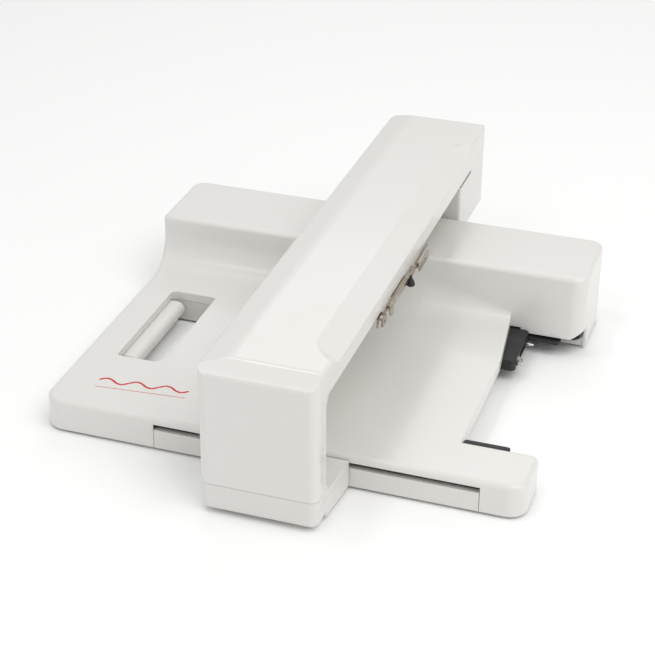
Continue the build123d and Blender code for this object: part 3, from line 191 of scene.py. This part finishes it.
def softRubber(name, colour, ribs=0.0):
    g = Graph(name)
    at = g.place()
    bloom = g.ramp(g.noise(at, 90.0, 4.0), 0.45, 0.75)
    grain = g.noise(at, 1100.0, 2.0, 0.7)
    height = grain * 0.3
    if ribs:
        wave = g.node("ShaderNodeTexWave", {"wave_type": "BANDS", "bands_direction": "DIAGONAL"},
                      {"Vector": at, "Scale": ribs})
        height = height + wave
    base = g.mix(bloom * 0.6, colour, tuple(c * 1.9 + 0.01 for c in colour))
    rough = 0.82 - bloom * 0.12
    return g.shade({"Base Color": base, "Roughness": rough, "Normal": g.bump(height, 0.00025), "IOR": 1.50})


def workedMetal(name, colour, tint, rough, streak, along, pits=0.0):
    # ground or plated metal: streaks along the tool's path, stain and fine pits
    g = Graph(name)
    scale = {"x": (1.0, streak, streak), "y": (streak, 1.0, streak), "z": (streak, streak, 1.0)}[along]
    lines = g.noise(g.place(scale), 24.0, 3.0, 0.65)
    at = g.place()
    stain = g.ramp(g.noise(at, 48.0, 5.0, 0.6, 0.6), 0.42, 0.72)
    speck = g.ramp(g.noise(at, 900.0, 1.0), 0.66, 0.74)
    base = g.mix(stain * 0.75 + (lines - 0.5) * 0.25, colour, tint)
    roughness = rough + (lines - 0.5) * 0.22 + stain * 0.10 + speck * pits
    normal = g.bump(lines + speck * pits * -2.0, 0.00005)
    return g.shade({"Base Color": base, "Metallic": 1.0, "Roughness": roughness, "Normal": normal})


def circuitBoard(name):
    # green solder mask over copper tracks, with tinned pads
    g = Graph(name)
    at = g.place((1, 1, 0.0))
    bricks = {"Vector": at, "Scale": 120.0, "Mortar Size": 0.09, "Brick Width": 0.9, "Row Height": 0.22}
    tracks = g.node("ShaderNodeTexBrick", {"offset": 0.35, "squash": 1.6}, bricks, out=1)
    pads = g.node("ShaderNodeTexVoronoi", {"feature": "F1"}, {"Vector": at, "Scale": 210.0}, out=0) < 0.17
    green = g.mix(tracks, (0.012, 0.105, 0.045), (0.035, 0.205, 0.085))
    base = g.mix(pads, green, (0.55, 0.52, 0.46))
    rough = 0.34 + g.noise(at, 300.0) * 0.12
    return g.shade({"Base Color": base, "Metallic": pads * 0.9, "Roughness": rough,
                    "Normal": g.bump(tracks * 0.5 + pads, 0.00004)})


def printedInk(name, colour):
    g = Graph(name)
    at = g.place()
    thin = g.ramp(g.noise(at, 900.0, 3.0, 0.7), 0.45, 0.75)
    base = g.mix(thin * 0.35, colour, tuple(min(1.0, c * 1.5 + 0.06) for c in colour))
    rough = 0.38 + thin * 0.2
    return g.shade({"Base Color": base, "Roughness": rough, "Normal": g.bump(thin, 0.00002), "IOR": 1.48})


finishes = {
    "white_gloss": mouldedWhite("coverGloss", (0.745, 0.735, 0.710), 0.30, 900.0, 0.00002, 0.45),
    "white_satin": mouldedWhite("coverSatin", (0.735, 0.725, 0.700), 0.40, 1400.0, 0.00004, 0.08),
    "tray_grey": mouldedWhite("trayGrey", (0.660, 0.652, 0.632), 0.52, 1300.0, 0.00006, 0.0),
    "black_plastic": mouldedDark("dockBlack", (0.012, 0.012, 0.013), 0.46),
    "rubber": softRubber("footRubber", (0.020, 0.020, 0.021)),
    "belt": softRubber("beltRubber", (0.014, 0.014, 0.014), ribs=95.0),
    "gold_contact": workedMetal("contactGold", (0.86, 0.60, 0.22), (0.62, 0.40, 0.14), 0.26, 6.0, "x"),
    "board_green": circuitBoard("boardGreen"),
    "chip_black": mouldedDark("chipResin", (0.022, 0.022, 0.024), 0.52),
    "ribbon_grey": softRubber("ribbonGrey", (0.30, 0.31, 0.33), ribs=140.0),
    "steel": workedMetal("groundSteel", (0.60, 0.59, 0.57), (0.42, 0.40, 0.37), 0.28, 22.0, "y", 0.1),
    "nickel": workedMetal("plateNickel", (0.46, 0.41, 0.34), (0.25, 0.20, 0.15), 0.22, 9.0, "y", 0.15),
    "dark_steel": workedMetal("blackSteel", (0.10, 0.095, 0.09), (0.22, 0.19, 0.16), 0.38, 4.0, "z", 0.2),
    "motor_black": mouldedDark("motorPaint", (0.020, 0.020, 0.023), 0.34),
    "alloy": workedMetal("milledAlloy", (0.72, 0.72, 0.73), (0.58, 0.58, 0.60), 0.32, 14.0, "x", 0.1),
    "bronze": workedMetal("sinterBronze", (0.52, 0.34, 0.16), (0.34, 0.21, 0.10), 0.46, 2.0, "z", 0.4),
}
slots = {row["node"]: row["material_slot"] for row in frame["record"]["subparts"]}
bodyOf = {node: body for body, held in frame["record"]["behaviour"]["bodies"].items() for node in held}
for nodeName, piece in nodes.items():
    piece.data.materials.clear()
    piece.data.materials.append(finishes[slots[nodeName]])
print("finishes made:", len(finishes))


def addPiece(name, bm, node, stands=True, slotName=None, smooth=True):
    # a finished mesh takes its body and its finish from the CAD node that it stands for or belongs to
    bmesh.ops.recalc_face_normals(bm, faces=bm.faces)
    mesh = bpy.data.meshes.new(name)
    bm.to_mesh(mesh)
    bm.free()
    if smooth:
        mesh.shade_smooth()
        mesh.set_sharp_from_angle(angle=math.radians(38))
    piece = bpy.data.objects.new(name, mesh)
    bpy.context.collection.objects.link(piece)
    slotName = slotName or slots[node]
    mesh.materials.append(finishes[slotName])
    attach(piece, bodyOf[node])
    if stands:
        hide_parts(node)
    return piece


def islands(node):
    # the boxes of a node's separate solids, lowest corner first
    bm = bmesh.new()
    bm.from_mesh(nodes[node].data)
    bmesh.ops.remove_doubles(bm, verts=bm.verts, dist=1e-6)
    left, found = set(bm.verts), []
    while left:
        group, edge = set(), [left.pop()]
        while edge:
            vert = edge.pop()
            group.add(vert)
            for link in vert.link_edges:
                other = link.other_vert(vert)
                if other in left:
                    left.discard(other)
                    edge.append(other)
        low = Vector([min(v.co[k] for v in group) for k in range(3)])
        high = Vector([max(v.co[k] for v in group) for k in range(3)])
        found.append((low, high))
    bm.free()
    return sorted(found, key=lambda pair: tuple(round(c, 5) for c in pair[0]))


def lathe(bm, profile, centre, axis="z", steps=40):
    # turns a profile of (radius, height) round an axis through centre; radius 0 closes an end
    frames = {"z": ((1, 0, 0), (0, 1, 0), (0, 0, 1)), "x": ((0, 1, 0), (0, 0, 1), (1, 0, 0)),
              "y": ((0, 0, 1), (1, 0, 0), (0, 1, 0))}
    u, v, w = (Vector(k) for k in frames[axis])
    rings = []
    for radius, height in profile:
        base = Vector(centre) + w * height
        if radius == 0:
            rings.append([bm.verts.new(base)])
            continue
        turns = [2 * math.pi * k / steps for k in range(steps)]
        rings.append([bm.verts.new(base + (u * math.cos(t) + v * math.sin(t)) * radius) for t in turns])
    for low, high in zip(rings, rings[1:]):
        for k in range(steps):
            n = (k + 1) % steps
            corners = [low[k % len(low)], low[n % len(low)], high[n % len(high)], high[k % len(high)]]
            bm.faces.new(list(dict.fromkeys(corners)))
    for ring, order in ((rings[0], -1), (rings[-1], 1)):
        if len(ring) > 1:
            bm.faces.new(ring[::order])


def easedCorners(name, node, width, segments=3, extra=None):
    # a CAD piece again, with its triangles joined into faces and a real radius on every edge
    bm = bmesh.new()
    bm.from_mesh(nodes[node].data)
    bmesh.ops.remove_doubles(bm, verts=bm.verts, dist=2e-6)
    bmesh.ops.dissolve_limit(bm, angle_limit=math.radians(1.0), verts=bm.verts, edges=bm.edges)
    sharp = [e for e in bm.edges if e.is_manifold and e.calc_face_angle(0.0) > math.radians(32)]
    bmesh.ops.bevel(bm, geom=sharp, offset=width, segments=segments, profile=0.6, affect="EDGES",
                    clamp_overlap=True)
    if extra:
        extra(bm)
    return addPiece(name, bm, node)


# how far each piece's edges are rounded
sheetMetal = {"hoop_bracket": 0.00035, "front_clip": 0.00030, "rear_clip": 0.00030, "hoop_neck": 0.00035,
              "release_latch": 0.0004, "front_tongue": 0.0004, "base_screws": 0.00025, "arm_screws": 0.00025}
easedPlastic = {"dock_housing": 0.0005, "dock_bar": 0.0006, "notch_strip": 0.0006}


rivetShape = {
    "shares": (0.10, 0.27, 0.73, 0.90),  # along the bracket
    "inset": 0.0021,
    "head": [(0.00135, -0.0003), (0.00135, 0.0001), (0.0011, 0.00048), (0.0006, 0.0007), (0, 0.00075)],
}


def rivets(bm):
    # domed heads along the hoop bracket's strip
    low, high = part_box("hoop_bracket")
    for share in rivetShape["shares"]:
        place = (high[0] - rivetShape["inset"], low[1] + (high[1] - low[1]) * share, high[2])
        lathe(bm, rivetShape["head"], place, steps=20)


def camel(words):
    first, *rest = words.split("_")
    return first + "".join(word.capitalize() for word in rest)


def easePieces():
    for node, width in {**sheetMetal, **easedPlastic}.items():
        easedCorners(camel(node) + "Eased", node, width, extra=rivets if node == "hoop_bracket" else None)
    print("eased pieces:", len(sheetMetal) + len(easedPlastic))


footShape = {"node": "rubber_feet", "rings": 3, "firstRing": 0.18, "ringPitch": 0.24, "ringDepth": 0.00035,
             "shoulder": 0.0009}


def mouldFeet(s):
    # domed feet with shallow rings on the tread
    bm = bmesh.new()
    for low, high in islands(s["node"]):
        r, h = (high.x - low.x) / 2, high.z - low.z
        profile = [(0, 0.0)]
        for ring in range(s["rings"]):
            inner = r * (s["firstRing"] + s["ringPitch"] * ring)
            profile += [(inner, 0.0), (inner + r * 0.03, s["ringDepth"]), (inner + r * 0.09, s["ringDepth"]),
                        (inner + r * 0.12, 0.0)]
        soft = s["shoulder"]
        profile += [(r - soft, 0.0), (r - soft * 0.3, soft * 0.3), (r, soft), (r, h), (0, h)]
        lathe(bm, profile, ((low.x + high.x) / 2, (low.y + high.y) / 2, low.z), steps=36)
    addPiece("feetMoulded", bm, s["node"])
    print("feet moulded")


pinShape = {"node": "dock_pins", "tip": 0.45, "groove": 0.0003}


def turnPins(s):
    # guide pins with a long nose and a turned groove
    bm = bmesh.new()
    for low, high in islands(s["node"]):
        r, length = (high.y - low.y) / 2, high.x - low.x
        neck, tip = r - s["groove"], r * s["tip"]
        profile = [(0, 0), (r, 0), (r, length * 0.52), (neck, length * 0.54), (neck, length * 0.58),
                   (r, length * 0.60), (r, length * 0.76), (r * 0.80, length * 0.88), (tip, length * 0.97),
                   (tip * 0.6, length), (0, length)]
        lathe(bm, profile, (low.x, (low.y + high.y) / 2, (low.z + high.z) / 2), axis="x", steps=32)
    addPiece("dockPinsTurned", bm, s["node"])
    print("pins turned")


knobShape = {"node": "hoop_knob", "grips": 3, "firstGrip": 0.24, "gripPitch": 0.10, "gripDepth": 0.00025}


def turnKnob(s):
    # a cone with fine grip rings and a softly domed end
    low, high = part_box(s["node"])
    r, h = (high[0] - low[0]) / 2, high[2] - low[2]
    profile = [(0, 0.0), (r * 0.55, 0.0), (r * 0.86, h * 0.03), (r * 0.98, h * 0.10), (r, h * 0.17)]
    for k in range(s["grips"]):
        share = s["firstGrip"] + s["gripPitch"] * k
        edge = r * (1 - 0.75 * (share - 0.17) / 0.83)  # the cone's radius at that height
        groove = edge - s["gripDepth"]
        profile += [(edge, h * share), (groove, h * (share + 0.02)), (groove, h * (share + 0.045)),
                    (edge - s["gripDepth"] * 0.4, h * (share + 0.06))]
    profile += [(r * 0.44, h * 0.72), (r * 0.30, h * 0.88), (r * 0.25, h), (0, h)]
    bm = bmesh.new()
    lathe(bm, profile, ((low[0] + high[0]) / 2, (low[1] + high[1]) / 2, low[2]), steps=48)
    addPiece("hoopKnobTurned", bm, s["node"])
    print("knob turned")


contactShape = {
    "node": "dock_contacts", "count": 7, "steps": 10,
    "width": 0.0013, "thick": 0.00018, "rise": 0.0016, "curl": 0.2,  # of each leaf
    "carrier": 0.003, "margin": 0.0017, "corner": 0.0003,  # of the block that holds them
}


def bar(bm, corners, span):
    # a four-sided bar; the coordinate that is None in its corners runs from one end of span to the other
    ends = [[bm.verts.new([at if c is None else c for c in corner]) for corner in corners] for at in span]
    for k in range(4):
        n = (k + 1) % 4
        bm.faces.new([ends[0][k], ends[0][n], ends[1][n], ends[1][k]])
    bm.faces.new(ends[0][::-1])
    bm.faces.new(ends[1])


def bendContacts(s):
    # leaf springs that rise out of the carrier and curl back over their crest
    low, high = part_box(s["node"])
    bm = bmesh.new()
    root = low[0] + s["carrier"]
    corners = ((low[0], low[2]), (root, low[2]), (root, high[2]), (low[0], high[2]))
    bar(bm, [(x, None, z) for x, z in corners], (low[1], high[1]))
    bmesh.ops.bevel(bm, geom=list(bm.edges), offset=s["corner"], segments=2, affect="EDGES")
    reach, pitch = high[0] - root, (high[1] - low[1] - 2 * s["margin"]) / (s["count"] - 1)
    middle = (low[2] + high[2]) / 2 - 0.0005
    for leaf in range(s["count"]):
        y = low[1] + s["margin"] + pitch * leaf
        line = []
        for k in range(s["steps"] + 1):
            t = k / s["steps"]
            out = 0.97 * min(1.0, t * 1.15) - s["curl"] * max(0.0, t - 0.8)
            line.append((root + reach * out, middle + s["rise"] * math.sin(t * math.pi * 0.95)))
        ribbon(bm, line, y - s["width"] / 2, y + s["width"] / 2, s["thick"])
    addPiece("dockContactsBent", bm, s["node"])
    print("contacts bent:", s["count"])


def ribbon(bm, line, y0, y1, thick):
    # a bent strip: its line in XZ, with a width in Y and a thickness in Z
    rows = []
    for x, z in line:
        corners = ((x, y0, z), (x, y1, z), (x, y1, z + thick), (x, y0, z + thick))
        rows.append([bm.verts.new(corner) for corner in corners])
    for a, b in zip(rows, rows[1:]):
        for k in range(4):
            n = (k + 1) % 4
            bm.faces.new([a[k], a[n], b[n], b[k]])
    bm.faces.new(rows[0][::-1])
    bm.faces.new(rows[-1])


brushShape = {"node": "slot_brush", "pitch": 0.0011, "hair": 0.00022, "lean": 0.0005, "seed": 7,
              "strip": 0.45, "rows": (0.30, 0.62)}  # where the strip starts, and the rows' heights


def tuftBrush(s):
    # two rows of short bristles behind the front slot, on their moulded strip
    rng = random.Random(s["seed"])
    low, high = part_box(s["node"])
    bm = bmesh.new()
    front = low[1] + (high[1] - low[1]) * s["strip"]
    corners = ((front, low[2]), (high[1], low[2]), (high[1], high[2]), (front, high[2]))
    bar(bm, [(None, y, z) for y, z in corners], (low[0], high[0]))
    count = int((high[0] - low[0]) / s["pitch"])
    for row in s["rows"]:
        for k in range(count):
            x = low[0] + s["pitch"] * (k + 0.5) + rng.uniform(-0.0002, 0.0002)
            z = low[2] + (high[2] - low[2]) * row
            tipX = min(max(x + rng.uniform(-s["lean"], s["lean"]), low[0]), high[0])
            tipZ = z + rng.uniform(-s["lean"], s["lean"]) * 0.6
            tuft(bm, (x, front, z), (tipX, low[1] + rng.uniform(0, 0.0003), tipZ), s["hair"])
    addPiece("slotBrushTufted", bm, s["node"], smooth=False)
    print("bristles:", count * 2)


def tuft(bm, root, tip, r):
    # one bristle: a thin square spike that starts inside the strip
    square = ((-r, -r), (r, -r), (r, r), (-r, r))
    a = [bm.verts.new((root[0] + u, root[1] + 0.0001, root[2] + v)) for u, v in square]
    b = [bm.verts.new((tip[0] + u * 0.5, tip[1], tip[2] + v * 0.5)) for u, v in square]
    for k in range(4):
        n = (k + 1) % 4
        bm.faces.new([a[k], a[n], b[n], b[k]])
    bm.faces.new(a[::-1])
    bm.faces.new(b)


motif = {
    "start": (-0.2005, -0.1690), "run": 0.0925, "turn": 5.0, "height": 0.00012, "red": (0.560, 0.018, 0.022),
    "stitches": 15, "gap": 0.14, "waves": 3, "wave": 0.0042, "thread": 0.0013,  # the wavy row
    "line": 34, "lineGap": 0.2, "lineDrop": 0.0125, "lineThread": 0.00045,  # the straight row below it
}


def printMotif(s):
    # a row of running stitches on a wave, with a fine row of stitches below it
    finishes["motif_red"] = printedInk("stitchRed", s["red"])
    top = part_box("notch_strip")[1][2] + 0.002  # the table's top stands above the strip
    along = Vector((math.cos(math.radians(s["turn"])), math.sin(math.radians(s["turn"])), 0))
    across = Vector((-along.y, along.x, 0))
    start = Vector((*s["start"], top))
    bm = bmesh.new()

    def at(share, lift):
        return start + along * (s["run"] * share) + across * lift

    for k in range(s["stitches"]):
        a, b = (k + s["gap"]) / s["stitches"], (k + 1 - s["gap"]) / s["stitches"]
        wave = [s["wave"] * math.sin(s["waves"] * 2 * math.pi * share) for share in (a, b)]
        stitch(bm, at(a, wave[0]), at(b, wave[1]), s["thread"], s["height"])
    for k in range(s["line"]):
        a, b = (k + s["lineGap"]) / s["line"], (k + 1 - s["lineGap"]) / s["line"]
        stitch(bm, at(a, -s["lineDrop"]), at(b, -s["lineDrop"]), s["lineThread"], s["height"])
    addPiece("stitchMotif", bm, "top_cover", stands=False, slotName="motif_red")
    print("motif printed")


def stitch(bm, a, b, r, height, ends=7, crownShare=0.86):
    # a flat capsule with a low crown
    way = (b - a).normalized()
    side = Vector((-way.y, way.x, 0))
    rim = []
    for centre, sign in ((a, -1), (b, 1)):
        for k in range(ends):
            t = math.pi * (k / (ends - 1) - 0.5)
            rim.append(centre + way * (sign * math.cos(t) * r) + side * (sign * math.sin(t) * r))
    low = [bm.verts.new(p) for p in rim]
    middle = (a + b) / 2
    crown = [bm.verts.new(middle + (p - middle) * crownShare + Vector((0, 0, height))) for p in rim]
    for k in range(len(rim)):
        n = (k + 1) % len(rim)
        bm.faces.new([low[k], low[n], crown[n], crown[k]])
    bm.faces.new(crown)
    bm.faces.new(low[::-1])


easePieces()
mouldFeet(footShape)
turnPins(pinShape)
turnKnob(knobShape)
bendContacts(contactShape)
tuftBrush(brushShape)
printMotif(motif)

studio = {
    "eye": (0.46175, -1.4390, 0.90829), "yaw": 18.51, "pitch": -29.86, "roll": 0.26,
    "focal": 92.55, "sensor": 36.0,
    "floorSize": 60.0, "floorColour": (0.97, 0.97, 0.965), "floorFleck": (0.94, 0.94, 0.935),
    "world": 0.64,
    "lamps": [  # name, place, aim, size, watts
        ("keySoftbox", (1.2, -0.7, 2.3), (0.0, 0.0, 0.05), 1.8, 25.0),
        ("edgeStrip", (-0.75, -1.4, 2.2), (0.0, 0.0, 0.05), 0.7, 3.5),
        ("topStrip", (-0.6, -0.25, 2.4), (0.0, -0.1, 0.05), 0.35, 4.0),  # bright lines on the rounded edges,
        ("rearStrip", (-0.4, 1.9, 1.9), (0.0, 0.0, 0.05), 1.4, 6.0),
        ("rightFill", (2.4, -0.6, 0.8), (0.0, 0.0, 0.05), 1.4, 3.5),
    ],
}


def aimMatrix(place, forward, right=None):
    forward = Vector(forward).normalized()
    right = forward.cross(Vector((0, 0, 1))).normalized() if right is None else right
    up = right.cross(forward)
    basis = Matrix((right, up, -forward)).transposed().to_4x4()
    return Matrix.Translation(place) @ basis


def setStudio(s):
    yaw, pitch, roll = (math.radians(s[k]) for k in ("yaw", "pitch", "roll"))
    forward = Vector((-math.sin(yaw) * math.cos(pitch), math.cos(yaw) * math.cos(pitch), math.sin(pitch)))
    flat = Vector((math.cos(yaw), math.sin(yaw), 0))
    right = math.cos(roll) * flat + math.sin(roll) * flat.cross(forward)
    camera = bpy.data.objects.new("photoCamera", bpy.data.cameras.new("photoCamera"))
    camera.data.lens, camera.data.sensor_width = s["focal"], s["sensor"]
    camera.data.clip_end = 60.0
    camera.matrix_world = aimMatrix(s["eye"], forward, right)
    bpy.context.collection.objects.link(camera)
    bpy.context.scene.camera = camera
    for name, place, aim, size, watts in s["lamps"]:
        lamp = bpy.data.lights.new(name, "AREA")
        lamp.shape, lamp.size, lamp.energy = "SQUARE", size, watts
        holder = bpy.data.objects.new(name, lamp)
        holder.matrix_world = aimMatrix(place, Vector(aim) - Vector(place))
        bpy.context.collection.objects.link(holder)
    world = bpy.data.worlds.new("studioWorld")
    world.use_nodes = True
    world.node_tree.nodes["Background"].inputs["Color"].default_value = (1.0, 1.0, 1.0, 1.0)
    world.node_tree.nodes["Background"].inputs["Strength"].default_value = s["world"]
    bpy.context.scene.world = world
    bpy.context.scene.view_settings.view_transform = "Standard"
    half = s["floorSize"] / 2
    corners = [(-half, -half, 0), (half, -half, 0), (half, half, 0), (-half, half, 0)]
    mesh = bpy.data.meshes.new("studioFloor")
    mesh.from_pydata(corners, [], [(0, 1, 2, 3)])
    floor = bpy.data.objects.new("studioFloor", mesh)
    bpy.context.collection.objects.link(floor)
    g = Graph("floorPaper")
    grain = g.noise(g.place(), 60.0, 3.0)
    paper = g.mix(grain * 0.3, s["floorColour"], s["floorFleck"])
    mesh.materials.append(g.shade({"Base Color": paper, "Roughness": 0.75, "Normal": g.bump(grain, 0.0001)}))


setStudio(studio)
print("studio set")
